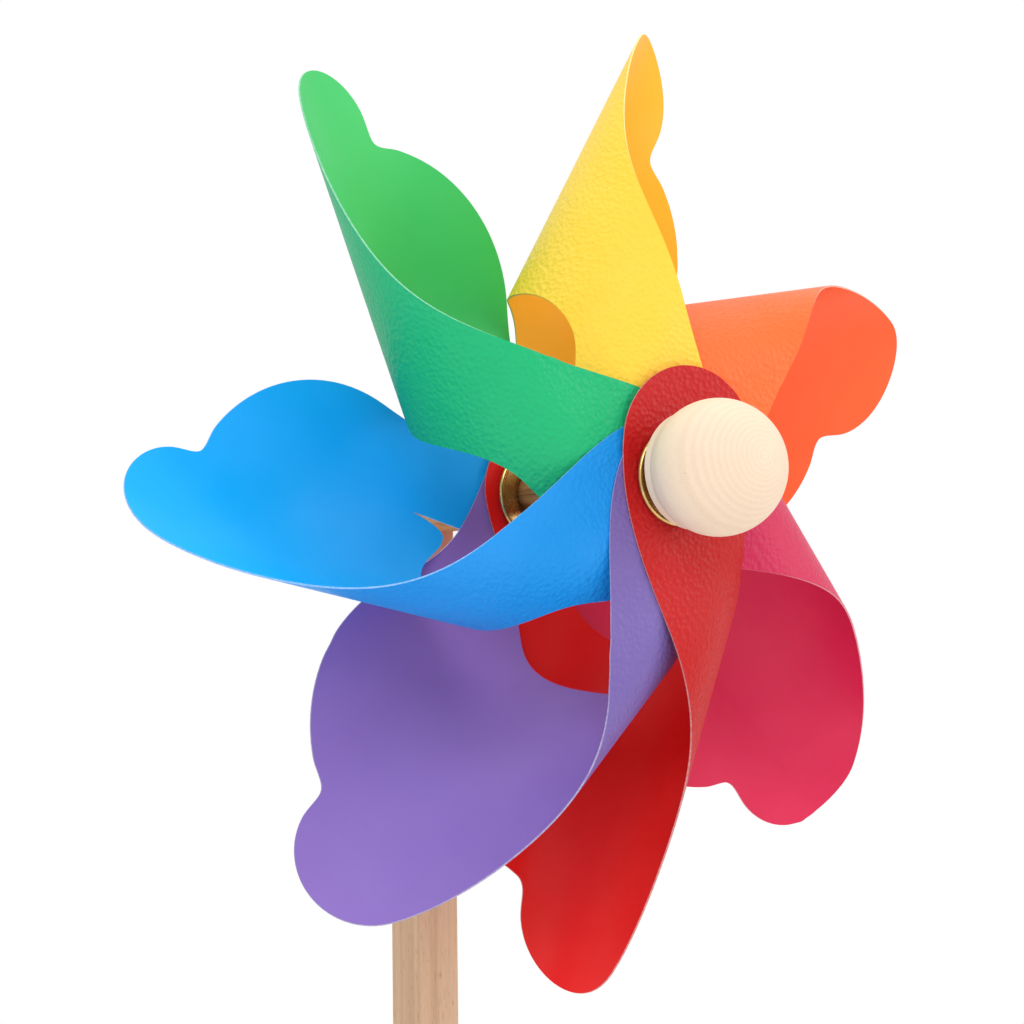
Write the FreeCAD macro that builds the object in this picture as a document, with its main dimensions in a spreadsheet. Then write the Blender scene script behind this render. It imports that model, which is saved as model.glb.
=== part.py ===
"""Pinwheel: seven rolled plastic blades on two brass eyelets, turning on a dowel in a square stick.

Millimetres, +Z up. The origin is the centre of the stick's lower end. The axle runs along Y and
the wheel faces -Y. "Forward" below means towards -Y, and depths are measured forward.
"""
import FreeCAD
import Part
import math
import os
from FreeCAD import Base, Placement, Rotation, Vector

doc = FreeCAD.newDocument("Pinwheel")

# ---------------------------------------------------------------- driving dimensions
DIMENSIONS = [
    ("stick_width", 12.0, "square stick, across its flats"),
    ("stick_length", 380.0, "stick, end to end"),
    ("stick_edge", 0.8, "rounding of the stick's long edges"),
    ("axle_below_top", 16.0, "axle centre below the stick's top"),
    ("axle_radius", 4.5, "dowel axle"),
    ("rear_hub_depth", 46.0, "stick centre to the rearmost blade at the rear hub"),
    ("hub_spacing", 54.0, "rear hole to front hole of one blade, along the axle"),
    ("ball_radius", 15.3, "wooden ball on the axle's front end"),
    ("ball_depth", 73.8, "rear hub to ball centre"),
    ("collar_radius", 13.2, "short collar behind the ball"),
    ("collar_depth", 63.5, "rear hub to the collar's flat back"),
    ("ball_bore_depth", 16.0, "blind hole for the axle, from the collar's back"),
    ("eyelet_bore", 5.5, "eyelet hole, inner radius"),
    ("eyelet_wall", 0.45, "eyelet sheet thickness"),
    ("flange_radius", 11.2, "eyelet flange, outer radius"),
    ("bead_radius", 0.8, "rolled rim of the flange, section radius"),
    ("washer_radius", 10.0, "washer behind each stack of blades"),
    ("washer_thickness", 0.5, "washer sheet thickness"),
    ("spacer_radius", 7.5, "wooden sleeve between stick and wheel"),
    ("spacer_gap", 2.6, "front of the sleeve to the rearmost blade"),
    ("blade_thickness", 0.4, "plastic sheet"),
    ("stack_pitch", 0.6, "blade to blade in a stack of tabs"),
    ("blade_hole", 6.3, "hole in each blade tab, radius"),
    ("slack", 0.1, "gap between a stack and what clamps it"),
    ("fit", 0.05, "gap between round parts that touch in the real toy"),
    ("blade_arc", 106.6, "hole to hole along the sheet"),
    ("flat_zone", 13.0, "flat sheet on each side of a hole before the bend starts"),
    ("lowest_front_drop", 1.6, "extra room under the lowest front tab, so the top blade clears it"),
]

sheet = doc.addObject("Spreadsheet::Sheet", "Dimensions")
for row, (alias, value, meaning) in enumerate(DIMENSIONS, start=1):
    sheet.set("A%d" % row, meaning)
    sheet.set("B%d" % row, str(value))
    sheet.setAlias("B%d" % row, alias)
doc.recompute()


def dim(alias):
    return float(sheet.get(alias))


AXLE_HEIGHT = dim("stick_length") - dim("axle_below_top")
# The wheel hangs on the axle, so its own centre is lower than the axle's.
HANG = dim("eyelet_bore") - dim("axle_radius") - dim("fit")
WHEEL_HEIGHT = AXLE_HEIGHT - HANG
TURN_TO_FORWARD = Rotation(Vector(1, 0, 0), 90)

# Blades from the rearmost to the frontmost in both stacks. All are cut to one pattern, but each
# points its own way and springs into its own roll. Directions are in degrees anticlockwise from +X
# as seen from the front. A roll is given by how far its rulings lean, in degrees, at the rear
# hole, midway and at the front hole.
BLADES = [
    ("magenta_blade", 305, (11, 0, 0)),
    ("orange_blade", 5, (-15, 6, -24)),
    ("yellow_blade", 60, (-7, 1, -10)),
    ("green_blade", 113, (-22, 6, -22)),
    ("blue_blade", 170, (-18, 2, -23)),
    ("purple_blade", 223, (-11, 1, -25)),
    ("red_blade", 261, (0, -8, 16)),
]
TOP_BLADE = BLADES[-1][0]
LOWEST_BLADE = BLADES[0][0]


def at_depth(depth, height):
    """Placement of a part drawn about the axle, its own zero `depth` in front of the stick."""
    return Placement(Vector(0, -depth, height), Rotation())


# ---------------------------------------------------------------- stick, axle and sleeve
def make_post():
    block = doc.addObject("Part::Box", "post_block")
    block.setExpression("Length", "Dimensions.stick_width")
    block.setExpression("Width", "Dimensions.stick_width")
    block.setExpression("Height", "Dimensions.stick_length")
    block.setExpression("Placement.Base.x", "-Dimensions.stick_width / 2")
    block.setExpression("Placement.Base.y", "-Dimensions.stick_width / 2")
    doc.recompute()

    rounded = doc.addObject("Part::Fillet", "post_rounded")
    rounded.Base = block
    edge = dim("stick_edge")
    rounded.Edges = [
        (number, edge, edge)
        for number, side in enumerate(block.Shape.Edges, start=1)
    ]

    drill = doc.addObject("Part::Cylinder", "post_drill")
    drill.setExpression("Radius", "Dimensions.axle_radius")
    drill.setExpression("Height", "Dimensions.stick_width * 2")
    drill.Placement = Placement(Vector(0, dim("stick_width"), AXLE_HEIGHT), TURN_TO_FORWARD)

    post = doc.addObject("Part::Cut", "post")
    post.Base = rounded
    post.Tool = drill
    return post


def make_axle():
    back = -dim("stick_width") / 2
    front = dim("rear_hub_depth") + dim("collar_depth") + dim("ball_bore_depth")
    axle = doc.addObject("Part::Cylinder", "axle")
    axle.setExpression("Radius", "Dimensions.axle_radius")
    axle.Height = front - back
    axle.Placement = Placement(Vector(0, -back, AXLE_HEIGHT), TURN_TO_FORWARD)
    return axle


def make_rear_spacer():
    back = dim("stick_width") / 2
    front = dim("rear_hub_depth") - dim("spacer_gap")
    sleeve = doc.addObject("Part::Cylinder", "rear_spacer_sleeve")
    sleeve.setExpression("Radius", "Dimensions.spacer_radius")
    sleeve.Height = front - back
    bore = doc.addObject("Part::Cylinder", "rear_spacer_bore")
    bore.setExpression("Radius", "Dimensions.axle_radius")
    bore.Height = front - back
    for solid in (sleeve, bore):
        solid.Placement = Placement(Vector(0, -back, AXLE_HEIGHT), TURN_TO_FORWARD)
    spacer = doc.addObject("Part::Cut", "rear_spacer")
    spacer.Base = sleeve
    spacer.Tool = bore
    return spacer


# ---------------------------------------------------------------- turned parts
def turned_body(name, outline, placement):
    """A PartDesign body: `outline` is closed (radius, -depth) geometry, turned about the Y axis."""
    body = doc.addObject("PartDesign::Body", name)
    profile = body.newObject("Sketcher::SketchObject", name + "_profile")
    profile.AttachmentSupport = [(body.Origin.OriginFeatures[3], "")]
    profile.MapMode = "FlatFace"
    profile.addGeometry(outline, False)
    turned = body.newObject("PartDesign::Revolution", name + "_turned")
    turned.Profile = profile
    turned.ReferenceAxis = (profile, ["V_Axis"])
    turned.Angle = 360.0
    body.Tip = turned
    body.Placement = placement
    return body


def line(start, end):
    return Part.LineSegment(Vector(*start), Vector(*end))


def closed_lines(points):
    """Straight sketch lines round (radius, depth) points, depth counted forward."""
    corners = [(radius, -depth) for radius, depth in points]
    return [line(a, b) for a, b in zip(corners, corners[1:] + corners[:1])]


def make_ball_knob():
    """Ball with a short collar and a blind bore; its zero is the ball's centre."""
    radius = dim("ball_radius")
    collar = dim("collar_radius")
    bore = dim("axle_radius")
    back = dim("collar_depth") - dim("ball_depth")
    bore_end = back + dim("ball_bore_depth")
    shoulder = -math.sqrt(radius ** 2 - collar ** 2)
    ease = 0.6
    sphere_arc = Part.Arc(
        Vector(0, -radius, 0), Vector(radius, 0, 0), Vector(collar, -shoulder, 0)
    )
    outline = [
        sphere_arc,
        line((collar, -shoulder), (collar, -back - ease)),
        line((collar, -back - ease), (collar - ease, -back)),
        line((collar - ease, -back), (bore, -back)),
        line((bore, -back), (bore, -bore_end)),
        line((bore, -bore_end), (0, -bore_end)),
        line((0, -bore_end), (0, -radius)),
    ]
    depth = dim("rear_hub_depth") + dim("ball_depth")
    return turned_body("ball_knob", outline, at_depth(depth, AXLE_HEIGHT))


def make_eyelet(name, stack_back, stack_front, hub_depth):
    """Barrel through a stack, a dished flange with a rolled rim in front, a small lip behind."""
    bore = dim("eyelet_bore")
    wall = dim("eyelet_wall")
    bead = dim("bead_radius")
    rim = dim("flange_radius") - bead
    seat = stack_front + dim("slack")
    back = stack_back - dim("slack") - dim("washer_thickness") - dim("slack")
    lip = bore + 4 * wall
    throat = bore + 3 * wall
    dish_edge = rim - bead / 2
    dish_back = seat + 1.6 * wall
    dish_front = dish_back + 1.6 * wall
    inner = [
        (bore, back - wall),
        (bore, seat),
        (throat, seat + 2 * wall),
        (dish_edge, dish_front),
    ]
    bead_middle = Vector(rim + bead, -(seat + bead), 0)
    bead_start = Vector(dish_edge, -dish_front, 0)
    bead_end = Vector(dish_edge, -dish_back, 0)
    outer = [
        (dish_edge, dish_back),
        (throat + wall / 2, seat + wall / 2),
        (bore + wall, seat),
        (bore + wall, back),
        (lip, back),
        (lip, back - wall),
        (bore, back - wall),
    ]
    outline = []
    for path in (inner, outer):
        corners = [(radius, -depth) for radius, depth in path]
        outline += [line(a, b) for a, b in zip(corners, corners[1:])]
    outline.append(Part.Arc(bead_start, bead_middle, bead_end))
    return turned_body(name, outline, at_depth(hub_depth, WHEEL_HEIGHT))


def make_washer(name, stack_back, hub_depth):
    inner = dim("eyelet_bore") + dim("eyelet_wall") + dim("fit")
    outer = dim("washer_radius")
    front = stack_back - dim("slack")
    back = front - dim("washer_thickness")
    outline = closed_lines([(inner, back), (inner, front), (outer, front), (outer, back)])
    return turned_body(name, outline, at_depth(hub_depth, WHEEL_HEIGHT))


# ---------------------------------------------------------------- flat pattern of a blade
# Flat coordinates: the rear hole is at (0, 0), the front hole at (blade_arc, 0), and y points to
# the tip. x runs the way the sheet is rolled.
def arc_through(centre, radius, start_deg, end_deg):
    """An arc as three points, start to end, whichever way round the angles run."""
    angles = (start_deg, (start_deg + end_deg) / 2, end_deg)
    points = [
        centre + radius * Vector(math.cos(math.radians(a)), math.sin(math.radians(a)), 0)
        for a in angles
    ]
    return Part.Arc(*points)


def smooth(points, start_direction=None, end_direction=None):
    curve = Part.BSplineCurve()
    if start_direction is None:
        curve.interpolate(Points=points)
    else:
        curve.interpolate(
            Points=points, InitialTangent=start_direction, FinalTangent=end_direction
        )
    return curve


def heading(angle_deg):
    return Vector(math.cos(math.radians(angle_deg)), math.sin(math.radians(angle_deg)), 0)


def blade_pattern(top_blade):
    """The blade's flat outline, as curves in order.

    The top blade has the full front tab, and a slimmer waist, as it passes its close neighbour.
    """
    arc_length = dim("blade_arc")
    rear_tab = Vector(0, -1, 0)
    rear_tab_radius = 14.5
    big_lobe = Vector(22.0, 56.5, 0)
    big_lobe_radius = 36.0
    tip_lobe = Vector(27.0, 95.0, 0)
    tip_lobe_radius = 17.0
    if top_blade:
        front_tab = Vector(arc_length - 1.5, -8.0, 0)
        front_tab_radius = 18.5
        narrowest = Vector(-2.5, 27, 0)
    else:
        front_tab = Vector(arc_length, 0, 0)
        front_tab_radius = 14.3
        narrowest = Vector(-7.6, 25, 0)

    tab_end = arc_through(rear_tab, rear_tab_radius, 20, -200)
    lobe = arc_through(big_lobe, big_lobe_radius, 200, 122)
    tip = arc_through(tip_lobe, tip_lobe_radius, 165, 38)
    front_end = arc_through(front_tab, front_tab_radius, 15, -185)

    def start(curve):
        return curve.value(curve.FirstParameter)

    def end(curve):
        return curve.value(curve.LastParameter)

    waist = smooth(
        [end(tab_end), narrowest, start(lobe)], heading(70) * 20, heading(110) * 20
    )
    notch = smooth(
        [end(lobe), Vector(9.2, 90.3, 0), start(tip)], heading(32) * 5, heading(75) * 5
    )
    free_edge = smooth(
        [
            end(tip),
            Vector(52.0, 87.0, 0),
            Vector(65.0, 65.0, 0),
            Vector(81.0, 47.0, 0),
            Vector(98.0, 31.0, 0),
            start(front_end),
        ],
        heading(-52) * 18,
        heading(-75) * 18,
    )
    inner_edge = smooth(
        [
            end(front_end),
            Vector(82.0, 3.0, 0),
            Vector(73.0, 16.0, 0),
            Vector(60.0, 26.0, 0),
            Vector(42.0, 29.5, 0),
            Vector(24.0, 30.0, 0),
            Vector(14.6, 24.0, 0),
            start(tab_end),
        ],
        heading(95) * 14,
        heading(-85) * 14,
    )
    outline = [tab_end, waist, lobe, notch, tip, free_edge, front_end, inner_edge]
    return outline


# ---------------------------------------------------------------- rolling a flat pattern
class RolledSheet:
    """A sheet rolled from the rear hole to the front hole.

    The sheet bends about straight rulings that leave the line between the holes. How far a ruling
    leans from y changes along that line, so the roll is a cone rather than a cylinder.
    Local axes: y to the tip, z forward, and the sheet leaves the rear hole towards -x.
    """

    STEPS = 240
    MARGIN = 40.0
    COLUMNS = 90
    REACH_IN = -45.0
    REACH_OUT = 130.0

    def __init__(self, hub_spacing, leans):
        self.leans = [math.radians(lean) for lean in leans]
        self.length = dim("blade_arc")
        self.flat = dim("flat_zone")
        self.step = self.length / self.STEPS
        self.places = [index * self.step for index in range(self.STEPS + 1)]
        frames = self.turn_frames()
        frames = self.close_turn(frames)
        self.frames = frames
        self.points = self.close_gap(self.walk(frames), Vector(0, 0, hub_spacing))

    def lean(self, place):
        """Lean of the ruling at `place`, in radians from y towards x: a parabola through three."""
        along = max(-1.0, min(1.0, 2 * place / self.length - 1))
        rear, middle, front = self.leans
        return middle + (front - rear) / 2 * along + ((front + rear) / 2 - middle) * along ** 2

    def bent_share(self, place):
        """How much of the bend lies before `place`, 0 to 1."""
        bent = (place - self.flat) / (self.length - 2 * self.flat)
        return max(0.0, min(1.0, bent))

    def turn_frames(self):
        """Rotation of the sheet at each place, bending half a turn about the rulings."""
        frame = Rotation()
        frames = [frame]
        for place in self.places[:-1]:
            middle = place + self.step / 2
            share = self.bent_share(place + self.step) - self.bent_share(place)
            lean = self.lean(middle)
            ruling = Vector(math.sin(lean), math.cos(lean), 0)
            frame = frame.multiply(Rotation(-ruling, math.degrees(math.pi * share)))
            frames.append(frame)
        return frames

    def close_turn(self, frames):
        """Spread a small turn over the bend, so that the front tab is parallel to the rear one."""
        normal = frames[-1].multVec(Vector(0, 0, 1))
        rest = Rotation(normal, Vector(0, 0, -1))
        return [
            Rotation().slerp(rest, self.bent_share(place)).multiply(frame)
            for place, frame in zip(self.places, frames)
        ]

    def walk(self, frames):
        """Points along the line between the holes."""
        point = Vector(0, 0, 0)
        points = [point]
        for before, after in zip(frames, frames[1:]):
            heading_now = before.multVec(Vector(1, 0, 0)) + after.multVec(Vector(1, 0, 0))
            point = point + heading_now * (self.step / 2)
            points.append(point)
        return points

    def close_gap(self, points, front_hole):
        """Spread a small shift over the bend, so that the front hole is in front of the rear one."""
        gap = front_hole - points[-1]
        shifted = []
        for place, point in zip(self.places, points):
            share = self.bent_share(place)
            ease = share * share * (3 - 2 * share)
            shifted.append(point + gap * ease)
        return shifted

    def along_ruling(self, place, distance):
        """The point `distance` out along the ruling at `place`, which may lie beyond the holes."""
        inside = max(0.0, min(self.length, place))
        index = min(int(inside / self.step), self.STEPS - 1)
        share = inside / self.step - index
        frame = self.frames[index].slerp(self.frames[index + 1], share)
        base = self.points[index] * (1 - share) + self.points[index + 1] * share
        lean = self.lean(place)
        offset = Vector(place - inside + distance * math.sin(lean), distance * math.cos(lean), 0)
        rolled = base + frame.multVec(offset)
        return Vector(-rolled.x, rolled.y, rolled.z)

    def ruling_of(self, flat_point):
        """The ruling place and the distance along it of a point of the flat pattern."""
        low = -self.MARGIN
        high = self.length + self.MARGIN
        for _ in range(60):
            middle = (low + high) / 2
            if middle + flat_point.y * math.tan(self.lean(middle)) < flat_point.x:
                low = middle
            else:
                high = middle
        place = (low + high) / 2
        return place, flat_point.y / math.cos(self.lean(place))

    def surface(self):
        """Ruled surface over the whole roll; u is the ruling's place, v the distance out along it."""
        first = -self.MARGIN
        last = self.length + self.MARGIN
        width = (last - first) / self.COLUMNS
        places = [first + index * width for index in range(self.COLUMNS + 1)]
        sides = []
        for reach in (self.REACH_IN, self.REACH_OUT):
            side = Part.BSplineCurve()
            points = [self.along_ruling(place, reach) for place in places]
            side.interpolate(Points=points, Parameters=places)
            sides.append(side)
        inner, outer = sides
        poles = [list(pair) for pair in zip(inner.getPoles(), outer.getPoles())]
        ruled = Part.BSplineSurface()
        ruled.buildFromPolesMultsKnots(
            poles,
            inner.getMultiplicities(),
            [2, 2],
            inner.getKnots(),
            [self.REACH_IN, self.REACH_OUT],
            False,
            False,
            inner.Degree,
            1,
        )
        return ruled

    def rolled_edge(self, surface, flat_curve):
        """One edge of the flat pattern, carried over to the rolled surface."""
        flat_edge = flat_curve.toShape()
        count = max(6, math.ceil(flat_edge.Length / 2.5))
        points = []
        for flat_point in flat_edge.discretize(Number=count + 1):
            points.append(Base.Vector2d(*self.ruling_of(flat_point)))
        on_surface = Part.Geom2d.BSplineCurve2d()
        on_surface.interpolate(Points=points)
        return on_surface.toShape(surface)


def make_blade(name, order, direction, leans):
    """A rolled blade: flat pattern, carried to the rolled surface, then given its thickness."""
    spacing = dim("hub_spacing")
    if name == LOWEST_BLADE:
        spacing -= dim("lowest_front_drop")
    roll = RolledSheet(spacing, leans)
    surface = roll.surface()
    pattern = blade_pattern(name == TOP_BLADE)
    rim = Part.Wire([roll.rolled_edge(surface, curve) for curve in pattern])
    skin = Part.Face(surface, rim)
    skin.validate()
    solid = skin.makeOffsetShape(dim("blade_thickness"), 0.01, fill=True)
    punch = Part.makeCylinder(dim("blade_hole"), 2 * spacing, Vector(0, 0, -spacing / 2))
    blade = doc.addObject("Part::Feature", name)
    blade.Shape = solid.cut(punch)
    pointing = Rotation(Vector(0, -1, 0), direction - 90).multiply(TURN_TO_FORWARD)
    depth = dim("rear_hub_depth") + order * dim("stack_pitch")
    blade.Placement = Placement(Vector(0, -depth, WHEEL_HEIGHT), pointing)
    return blade


# ---------------------------------------------------------------- assembly
def make_hubs():
    """One eyelet and washer at the rear stack, one pair at the front stack."""
    thickness = dim("blade_thickness")
    top = (len(BLADES) - 1) * dim("stack_pitch")
    rear = dim("rear_hub_depth")
    front = rear + dim("hub_spacing")
    return [
        make_eyelet("rear_eyelet", -thickness, top, rear),
        make_washer("rear_washer", -thickness, rear),
        make_eyelet("front_eyelet", -dim("lowest_front_drop"), top + thickness, front),
        make_washer("front_washer", -dim("lowest_front_drop"), front),
    ]


parts = [make_post(), make_axle(), make_rear_spacer(), make_ball_knob()]
parts += make_hubs()
parts += [make_blade(name, order, *shape) for order, (name, *shape) in enumerate(BLADES)]
doc.recompute()

os.makedirs("parts", exist_ok=True)
for part in parts:
    part.Label = part.Name
    broken = [state for state in part.State if state in ("Invalid", "Error")]
    if broken or part.Shape.isNull() or not part.Shape.isValid():
        raise RuntimeError("%s did not build: %s" % (part.Name, part.State))
    part.Shape.exportStep("parts/%s.step" % part.Name)
    print("%-14s %9.1f mm3" % (part.Name, part.Shape.Volume))
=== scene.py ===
"""Pinwheel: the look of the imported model. Metres, in the CAD frame: +Z up, the wheel faces -Y.

The stick, axle, ball, eyelets and washers are the CAD nodes with wood and brass materials. Each
blade is replaced by a copy of its CAD mesh, whose smooth side, grained side and cut edge have a
material each.
"""

import bpy
import math
from mathutils import Matrix, Vector


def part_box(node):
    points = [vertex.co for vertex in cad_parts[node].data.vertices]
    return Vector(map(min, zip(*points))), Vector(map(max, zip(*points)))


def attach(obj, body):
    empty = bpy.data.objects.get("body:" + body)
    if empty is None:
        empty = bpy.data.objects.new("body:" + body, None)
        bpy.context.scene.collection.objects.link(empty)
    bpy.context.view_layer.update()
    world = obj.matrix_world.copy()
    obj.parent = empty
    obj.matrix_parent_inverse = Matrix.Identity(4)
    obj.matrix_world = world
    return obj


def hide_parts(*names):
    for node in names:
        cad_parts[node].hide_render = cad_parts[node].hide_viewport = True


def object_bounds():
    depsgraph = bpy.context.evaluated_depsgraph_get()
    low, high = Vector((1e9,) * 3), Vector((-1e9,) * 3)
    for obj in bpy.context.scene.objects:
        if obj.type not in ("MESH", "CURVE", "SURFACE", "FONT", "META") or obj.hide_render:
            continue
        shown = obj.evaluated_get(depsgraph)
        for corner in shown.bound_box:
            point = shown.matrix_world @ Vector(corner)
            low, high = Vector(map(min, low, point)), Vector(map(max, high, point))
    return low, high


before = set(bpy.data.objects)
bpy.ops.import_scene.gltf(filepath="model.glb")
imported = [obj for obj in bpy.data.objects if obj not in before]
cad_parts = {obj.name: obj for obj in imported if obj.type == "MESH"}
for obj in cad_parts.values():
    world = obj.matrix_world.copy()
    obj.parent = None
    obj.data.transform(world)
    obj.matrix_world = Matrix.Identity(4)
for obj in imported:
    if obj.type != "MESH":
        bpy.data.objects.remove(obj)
cad_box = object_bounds()

MM = 0.001


# ---------------------------------------------------------------- colours
def linear(red, green, blue):
    """Linear RGBA of an sRGB colour given as 0 to 255, by the sRGB standard's own curve."""

    def channel(value):
        value /= 255
        if value <= 0.04045:
            return value / 12.92
        return ((value + 0.055) / 1.055) ** 2.4

    return (channel(red), channel(green), channel(blue), 1.0)


def mixed(first, second, share):
    return tuple(a * (1 - share) + b * share for a, b in zip(first, second))


WHITE = (1.0, 1.0, 1.0, 1.0)
BLACK = (0.0, 0.0, 0.0, 1.0)
# The sheets shine only a little, so that their colours stay strong under the white room.
SHEET_SHINE = 0.18

# Smooth side and grained side of each blade.
SHEET_COLOURS = {
    "magenta_blade": (linear(218, 38, 82), linear(206, 38, 84)),
    "orange_blade": (linear(255, 97, 42), linear(250, 108, 46)),
    "yellow_blade": (linear(250, 184, 20), linear(248, 204, 62)),
    "green_blade": (linear(62, 198, 106), linear(26, 180, 116)),
    "blue_blade": (linear(14, 172, 253), linear(18, 146, 230)),
    "purple_blade": (linear(142, 112, 190), linear(118, 98, 168)),
    "red_blade": (linear(232, 26, 24), linear(190, 16, 16)),
}
STICK_LIGHT = linear(214, 178, 144)
STICK_DARK = linear(186, 148, 114)
BALL_LIGHT = linear(236, 212, 186)
BALL_DARK = linear(226, 200, 172)
AXLE_LIGHT = linear(200, 146, 92)
AXLE_DARK = linear(130, 78, 40)
BRASS = linear(214, 186, 118)
BRASS_DULL = linear(178, 148, 92)
BALL_SPECK = (0.2, 0.1, 0.05, 1.0)
FLOOR_COLOUR = (0.86, 0.86, 0.86, 1.0)


# ---------------------------------------------------------------- shader helpers
class Shader:
    """A new material and short calls that add its nodes."""

    def __init__(self, name):
        self.material = bpy.data.materials.new(name)
        self.material.use_nodes = True
        self.tree = self.material.node_tree
        self.surface = self.tree.nodes["Principled BSDF"]

    def node(self, kind, **settings):
        node = self.tree.nodes.new(kind)
        for key, value in settings.items():
            setattr(node, key, value)
        return node

    def link(self, output, target):
        self.tree.links.new(output, target)

    def place(self, scale, turn=(0.0, 0.0, 0.0), shift=(0.0, 0.0, 0.0)):
        """Object coordinates in millimetres, turned, shifted and stretched."""
        coords = self.node("ShaderNodeTexCoord")
        mapping = self.node("ShaderNodeMapping", vector_type="TEXTURE")
        mapping.inputs["Location"].default_value = [value * MM for value in shift]
        mapping.inputs["Rotation"].default_value = turn
        mapping.inputs["Scale"].default_value = [value * MM for value in scale]
        self.link(coords.outputs["Object"], mapping.inputs["Vector"])
        return mapping.outputs["Vector"]

    def noise(self, vector, scale, detail=2.0, roughness=0.5, distortion=0.0):
        noise = self.node("ShaderNodeTexNoise")
        noise.inputs["Scale"].default_value = scale
        noise.inputs["Detail"].default_value = detail
        noise.inputs["Roughness"].default_value = roughness
        noise.inputs["Distortion"].default_value = distortion
        self.link(vector, noise.inputs["Vector"])
        return noise.outputs["Fac"]

    def ramp(self, value, *stops):
        """Colours at places from 0 to 1."""
        ramp = self.node("ShaderNodeValToRGB")
        elements = ramp.color_ramp.elements
        while len(elements) < len(stops):
            elements.new(1.0)
        for element, (place, colour) in zip(elements, stops):
            element.position = place
            element.color = colour
        self.link(value, ramp.inputs["Fac"])
        return ramp.outputs["Color"]

    def varied(self, value, low, high):
        """A number that goes from `low` to `high` over the middle of a noise's range."""
        return self.ramp(value, (0.3, (low, low, low, 1.0)), (0.7, (high, high, high, 1.0)))

    def wave(self, vector, shape, scale, distortion, detail_scale=1.0):
        """Waves about Y: `shape` is RINGS round it or BANDS across it."""
        wave = self.node(
            "ShaderNodeTexWave", wave_type=shape, rings_direction="Y", bands_direction="Y"
        )
        wave.inputs["Scale"].default_value = scale
        wave.inputs["Distortion"].default_value = distortion
        wave.inputs["Detail Scale"].default_value = detail_scale
        self.link(vector, wave.inputs["Vector"])
        return wave.outputs["Fac"]

    def blend(self, share, first, second, blend_type="MIX"):
        """Mix of two colour outputs; `share` is an output or a number."""
        mix = self.node("ShaderNodeMix", data_type="RGBA", blend_type=blend_type)
        sockets = (mix.inputs[0], mix.inputs[6], mix.inputs[7])
        for value, socket in zip((share, first, second), sockets):
            if isinstance(value, bpy.types.NodeSocket):
                self.link(value, socket)
            else:
                socket.default_value = value
        return mix.outputs[2]

    def bump(self, height, depth_mm, strength=1.0, before=None):
        bump = self.node("ShaderNodeBump")
        bump.inputs["Strength"].default_value = strength
        bump.inputs["Distance"].default_value = depth_mm * MM
        self.link(height, bump.inputs["Height"])
        if before is not None:
            self.link(before, bump.inputs["Normal"])
        return bump.outputs["Normal"]

    def set(self, **values):
        """Principled inputs by name, with _ for a space: an output is linked, a value is set."""
        for key, value in values.items():
            socket = self.surface.inputs[key.replace("_", " ")]
            if isinstance(value, bpy.types.NodeSocket):
                self.link(value, socket)
            else:
                socket.default_value = value


# ---------------------------------------------------------------- plastic sheet
def cloudy_colour(shader, vector, colour):
    """The sheet's colour with a slow, faint change in depth."""
    cloud = shader.noise(vector, scale=0.035, detail=3.0)
    deeper = mixed(colour, BLACK, 0.035)
    paler = mixed(colour, WHITE, 0.012)
    return shader.ramp(cloud, (0.35, deeper), (0.65, paler))


def smooth_sheet(name, colour):
    """The calendered side: satin, with a fine orange-peel surface."""
    shader = Shader(name + "_smooth")
    vector = shader.place((1, 1, 1))
    peel = shader.noise(vector, scale=1.1)
    speck = shader.noise(vector, scale=3.5, detail=1.0)
    normal = shader.bump(peel, depth_mm=0.012, before=shader.bump(speck, depth_mm=0.004))
    shader.set(
        Base_Color=cloudy_colour(shader, vector, colour),
        Roughness=shader.varied(speck, low=0.36, high=0.46),
        Specular_IOR_Level=SHEET_SHINE,
        Normal=normal,
    )
    return shader.material


def grained_sheet(name, colour):
    """The embossed side: pebbled leather grain with shallow creases between the pebbles."""
    shader = Shader(name + "_grained")
    vector = shader.place((1, 1, 1))
    wander = shader.noise(vector, scale=0.5)
    pebbles = shader.node("ShaderNodeTexVoronoi", feature="SMOOTH_F1")
    pebbles.inputs["Scale"].default_value = 0.85
    pebbles.inputs["Smoothness"].default_value = 0.35
    pebbles.inputs["Randomness"].default_value = 0.95
    shader.link(vector, pebbles.inputs["Vector"])
    height = shader.blend(0.35, pebbles.outputs["Distance"], wander)
    fine = shader.noise(vector, scale=2.4)
    fine_normal = shader.bump(fine, depth_mm=0.04, strength=0.7)
    normal = shader.bump(height, depth_mm=0.4, strength=0.9, before=fine_normal)
    shader.set(
        Base_Color=cloudy_colour(shader, vector, colour),
        Roughness=shader.varied(fine, low=0.34, high=0.5),
        Specular_IOR_Level=SHEET_SHINE,
        Normal=normal,
    )
    return shader.material


def cut_edge(name, colour):
    """The die-cut edge: a little rough, and paler than the sheet as a painted highlight for the
    bright line that light leaves along the rim.
    """
    shader = Shader(name + "_cut_edge")
    vector = shader.place((1, 1, 1))
    nicks = shader.noise(vector, scale=1.6)
    # pale and paler are painted highlight: the sheet's colour mixed with white so that the rim
    # shows as a bright line.
    pale = mixed(colour, WHITE, 0.12)
    paler = mixed(colour, WHITE, 0.3)
    shader.set(
        Base_Color=shader.ramp(nicks, (0.3, pale), (0.7, paler)),
        Roughness=0.5,
        Normal=shader.bump(nicks, depth_mm=0.05, strength=0.5),
    )
    return shader.material


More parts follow.
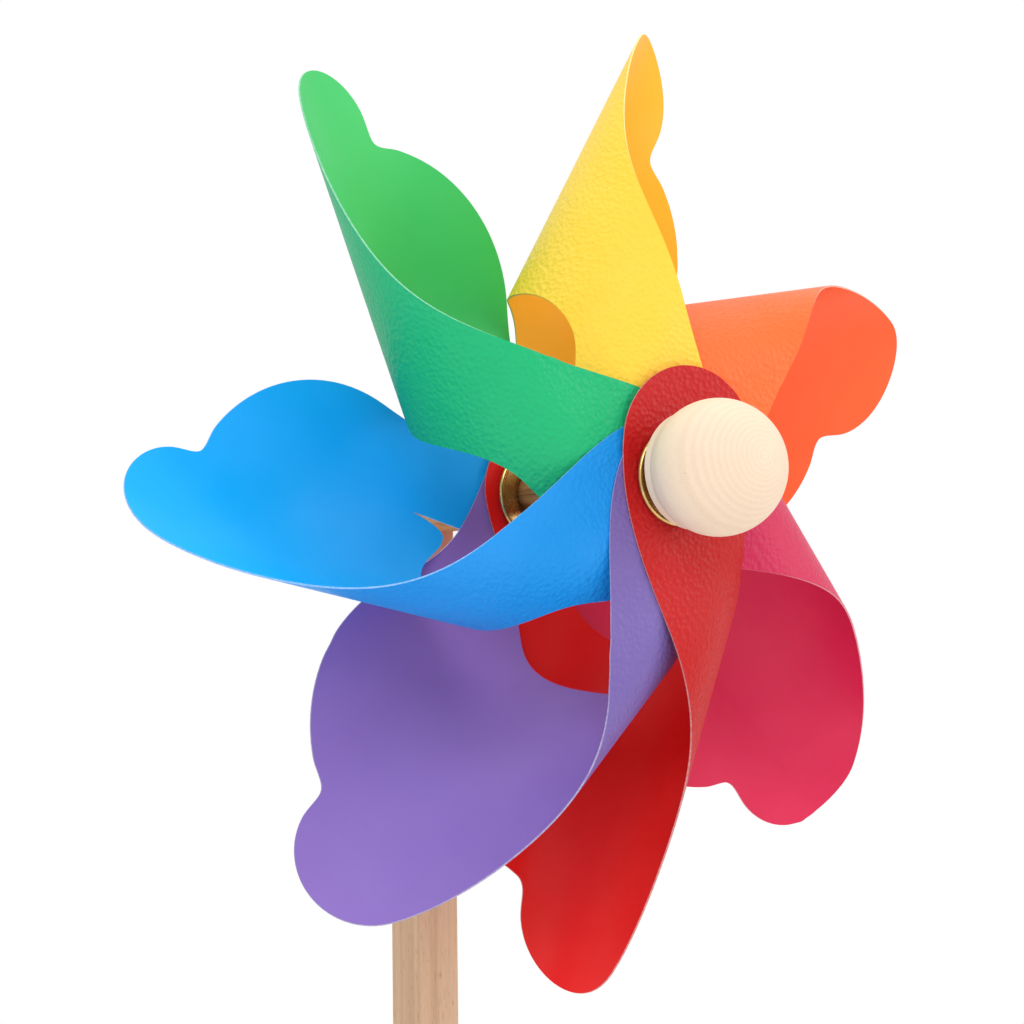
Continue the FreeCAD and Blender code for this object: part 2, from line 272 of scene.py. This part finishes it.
# ---------------------------------------------------------------- wood
def stick_wood(name, light, dark):
    """Bare stick: straight grain along Z, faint growth bands and short dark pores."""
    shader = Shader(name)
    bands = shader.noise(shader.place((1, 1, 90)), scale=0.22, distortion=0.3)
    fibres = shader.noise(shader.place((1, 1, 30)), scale=1.6, detail=4.0, roughness=0.65)
    pores = shader.noise(shader.place((0.35, 0.35, 3.2)), scale=1.0, detail=1.0)
    base = shader.ramp(bands, (0.35, dark), (0.6, light))
    streaked = shader.blend(0.35, base, shader.ramp(fibres, (0.35, dark), (0.65, light)))
    specks = shader.ramp(pores, (0.62, WHITE), (0.74, mixed(dark, WHITE, 0.55)))
    pore_normal = shader.bump(pores, depth_mm=0.05, strength=0.3)
    shader.set(
        Base_Color=shader.blend(1.0, streaked, specks, "MULTIPLY"),
        Roughness=shader.varied(fibres, low=0.58, high=0.7),
        Normal=shader.bump(fibres, depth_mm=0.06, strength=0.5, before=pore_normal),
    )
    return shader.material


def axle_wood(name):
    """Dowel: darker wood with strong grain lines along Y."""
    shader = Shader(name)
    bands = shader.noise(
        shader.place((1, 40, 1)), scale=0.7, detail=3.0, roughness=0.6, distortion=0.4
    )
    fibres = shader.noise(shader.place((1, 18, 1)), scale=3.0, detail=3.0, roughness=0.6)
    band_colour = shader.ramp(bands, (0.35, AXLE_DARK), (0.6, AXLE_LIGHT))
    fibre_colour = shader.ramp(fibres, (0.4, AXLE_DARK), (0.6, AXLE_LIGHT))
    shader.set(
        Base_Color=shader.blend(0.3, band_colour, fibre_colour),
        Roughness=0.55,
        Normal=shader.bump(fibres, depth_mm=0.05, strength=0.5),
    )
    return shader.material


def turned_wood(name, light, dark, centre):
    """Turned ball: growth rings about a core that runs nearly along the axle, and tool lines.

    `centre` is the ball's centre, in millimetres.
    """
    shader = Shader(name)
    tilt = (math.radians(-6), 0.0, math.radians(3))
    core = shader.place((1, 1, 1), tilt, centre)
    rings = shader.wave(core, "RINGS", scale=0.28, distortion=1.6, detail_scale=0.4)
    tool_lines = shader.wave(core, "BANDS", scale=0.55, distortion=0.8)
    fibre_place = shader.place((0.5, 1.6, 0.5), tilt, centre)
    fibres = shader.noise(fibre_place, scale=1.3, detail=4.0, roughness=0.65)
    pores = shader.noise(shader.place((0.6, 2.0, 0.6), tilt, centre), scale=0.55, detail=0.0)
    ring_colour = shader.ramp(rings, (0.2, mixed(dark, light, 0.3)), (0.8, light))
    fibre_colour = shader.ramp(fibres, (0.38, dark), (0.62, light))
    base = shader.blend(0.42, ring_colour, fibre_colour)
    specks = shader.ramp(pores, (0.84, WHITE), (0.87, mixed(dark, BALL_SPECK, 0.5)))
    height = shader.blend(0.5, fibres, tool_lines)
    shader.set(
        Base_Color=shader.blend(1.0, base, specks, "MULTIPLY"),
        Roughness=shader.varied(fibres, low=0.55, high=0.68),
        Normal=shader.bump(height, depth_mm=0.035, strength=0.5),
    )
    return shader.material


# ---------------------------------------------------------------- brass
def pressed_brass(name):
    """Thin pressed brass: bright, with dull patches and fine drawing marks round the barrel."""
    shader = Shader(name)
    patches = shader.noise(shader.place((1, 1, 1)), scale=0.35, detail=3.0, roughness=0.6)
    marks = shader.noise(shader.place((1, 0.12, 1)), scale=1.2)
    shader.set(
        Base_Color=shader.ramp(patches, (0.35, BRASS_DULL), (0.6, BRASS)),
        Metallic=1.0,
        Roughness=shader.varied(patches, low=0.34, high=0.22),
        Normal=shader.bump(marks, depth_mm=0.03, strength=0.35),
    )
    return shader.material


# ---------------------------------------------------------------- blades
SHARP_TURN = math.radians(40)


def welded_places(mesh):
    """A key for each vertex that is the same for vertices at one place."""
    grid = 1e-7
    return [tuple(round(c / grid) for c in vertex.co) for vertex in mesh.vertices]


def smooth_groups(mesh):
    """Lists of polygon numbers that are joined without a sharp turn."""
    place = welded_places(mesh)
    sharing = {}
    for polygon in mesh.polygons:
        for a, b in polygon.edge_keys:
            sharing.setdefault(frozenset((place[a], place[b])), []).append(polygon.index)
    limit = math.cos(SHARP_TURN)
    neighbours = [[] for _ in mesh.polygons]
    for numbers in sharing.values():
        for first in numbers:
            for second in numbers:
                if first == second:
                    continue
                if mesh.polygons[first].normal.dot(mesh.polygons[second].normal) > limit:
                    neighbours[first].append(second)
    groups = []
    seen = set()
    for start in range(len(mesh.polygons)):
        if start in seen:
            continue
        seen.add(start)
        group = [start]
        for number in group:
            fresh = [other for other in neighbours[number] if other not in seen]
            seen.update(fresh)
            group += fresh
        groups.append(group)
    return groups


def outwardness(mesh, group, centre):
    """Positive for the outside of a roll, negative for its inside."""
    total = 0.0
    for number in group:
        polygon = mesh.polygons[number]
        total += polygon.area * polygon.normal.dot(polygon.center - centre)
    return total


def sheet_blade(node):
    """A copy of the CAD blade: its inside is smooth, its outside grained, its rim a cut edge."""
    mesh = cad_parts[node].data.copy()
    mesh.materials.clear()
    smooth_colour, grained_colour = SHEET_COLOURS[node]
    for material in (
        smooth_sheet(node, smooth_colour),
        grained_sheet(node, grained_colour),
        cut_edge(node, grained_colour),
    ):
        mesh.materials.append(material)
    low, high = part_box(node)
    centre = (low + high) / 2
    groups = smooth_groups(mesh)
    groups.sort(key=lambda group: sum(mesh.polygons[n].area for n in group), reverse=True)
    sides = sorted(groups[:2], key=lambda group: outwardness(mesh, group, centre))
    for slot_number, side in enumerate([*sides, sum(groups[2:], [])]):
        for number in side:
            mesh.polygons[number].material_index = slot_number
    blade = bpy.data.objects.new(node.replace("_blade", "_sheet"), mesh)
    bpy.context.scene.collection.objects.link(blade)
    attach(blade, "wheel")
    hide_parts(node)
    return blade


# ---------------------------------------------------------------- assembly
def paint(node, material):
    """Gives a CAD node one material."""
    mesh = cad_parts[node].data
    mesh.materials.clear()
    mesh.materials.append(material)


def dress_hardware():
    low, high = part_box("ball_knob")
    radius = (high.z - low.z) / 2
    centre = Vector((0.0, low.y + radius, (low.z + high.z) / 2))
    paint("post", stick_wood("stick_wood", STICK_LIGHT, STICK_DARK))
    paint("rear_spacer", axle_wood("spacer_wood"))
    paint("axle", axle_wood("axle_wood"))
    centre_mm = [value / MM for value in centre]
    paint("ball_knob", turned_wood("ball_wood", BALL_LIGHT, BALL_DARK, centre_mm))
    brass = pressed_brass("brass")
    for node in ("rear_eyelet", "rear_washer", "front_eyelet", "front_washer"):
        paint(node, brass)


# ---------------------------------------------------------------- floor, light and camera
def make_floor():
    """A plain pale floor under the stick's end."""
    half = 1.2
    mesh = bpy.data.meshes.new("floor")
    corners = [(-half, -half, 0.0), (half, -half, 0.0), (half, half, 0.0), (-half, half, 0.0)]
    mesh.from_pydata(corners, [], [(0, 1, 2, 3)])
    floor = bpy.data.objects.new("floor", mesh)
    bpy.context.scene.collection.objects.link(floor)
    shader = Shader("floor_pale")
    shader.set(Base_Color=FLOOR_COLOUR, Roughness=0.9)
    mesh.materials.append(shader.material)


def aim(thing, target):
    """Turns a lamp so that it faces `target`."""
    thing.rotation_mode = "QUATERNION"
    thing.rotation_quaternion = (Vector(target) - thing.location).to_track_quat("-Z", "Y")


def soft_box(name, place, target, size, power):
    """A rectangular lamp, `size` metres wide and high, of `power` watts."""
    light = bpy.data.lights.new(name, "AREA")
    light.shape = "RECTANGLE"
    light.size, light.size_y = size
    light.energy = power
    lamp = bpy.data.objects.new(name, light)
    lamp.location = place
    bpy.context.scene.collection.objects.link(lamp)
    aim(lamp, target)


def make_light(target):
    """A white room, seen by the camera as pure white, and three soft boxes aimed at `target`."""
    fill = 0.88
    world = bpy.data.worlds.new("white_room")
    bpy.context.scene.world = world
    world.use_nodes = True
    nodes = world.node_tree.nodes
    links = world.node_tree.links
    background = nodes["Background"]
    background.inputs["Color"].default_value = WHITE
    path = nodes.new("ShaderNodeLightPath")
    strength = nodes.new("ShaderNodeMix")
    strength.inputs[2].default_value = fill
    strength.inputs[3].default_value = 1.0
    links.new(path.outputs["Is Camera Ray"], strength.inputs[0])
    links.new(strength.outputs[0], background.inputs["Strength"])
    soft_box("key", place=(-1.1, -1.3, 1.3), target=target, size=(0.9, 0.9), power=11)
    soft_box("side", place=(1.2, -0.9, 0.9), target=target, size=(0.7, 0.9), power=6)
    soft_box("top", place=(0.0, 0.3, 1.7), target=target, size=(1.0, 1.0), power=7)


def make_camera():
    """Below the wheel's height and to its left, looking slightly up at the rear hub."""
    azimuth = math.radians(-34.77)
    elevation = math.radians(-4.2)
    roll = math.radians(-0.68)
    distance = 0.8385
    pan_right = -0.0031
    pan_up = -0.0039
    low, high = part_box("rear_washer")
    hub = Vector((0.0, (low.y + high.y) / 2, (low.z + high.z) / 2))
    back = Vector(
        (
            math.sin(azimuth) * math.cos(elevation),
            -math.cos(azimuth) * math.cos(elevation),
            math.sin(elevation),
        )
    )
    level_right = Vector((math.cos(azimuth), math.sin(azimuth), 0.0))
    level_up = back.cross(level_right)
    right = level_right * math.cos(roll) + level_up * math.sin(roll)
    up = level_up * math.cos(roll) - level_right * math.sin(roll)
    data = bpy.data.cameras.new("camera")
    data.sensor_width = 36.0
    data.lens = 124.2
    data.clip_start = 0.05
    data.clip_end = 20.0
    camera = bpy.data.objects.new("camera", data)
    bpy.context.scene.collection.objects.link(camera)
    camera.rotation_mode = "QUATERNION"
    camera.rotation_quaternion = Matrix((right, up, back)).transposed().to_quaternion()
    camera.location = hub + back * distance + right * pan_right + up * pan_up
    bpy.context.scene.camera = camera


for blade_node in SHEET_COLOURS:
    sheet_blade(blade_node)
dress_hardware()
make_floor()
make_light((cad_box[0] + cad_box[1]) / 2)
make_camera()
bpy.context.scene.view_settings.view_transform = "Standard"
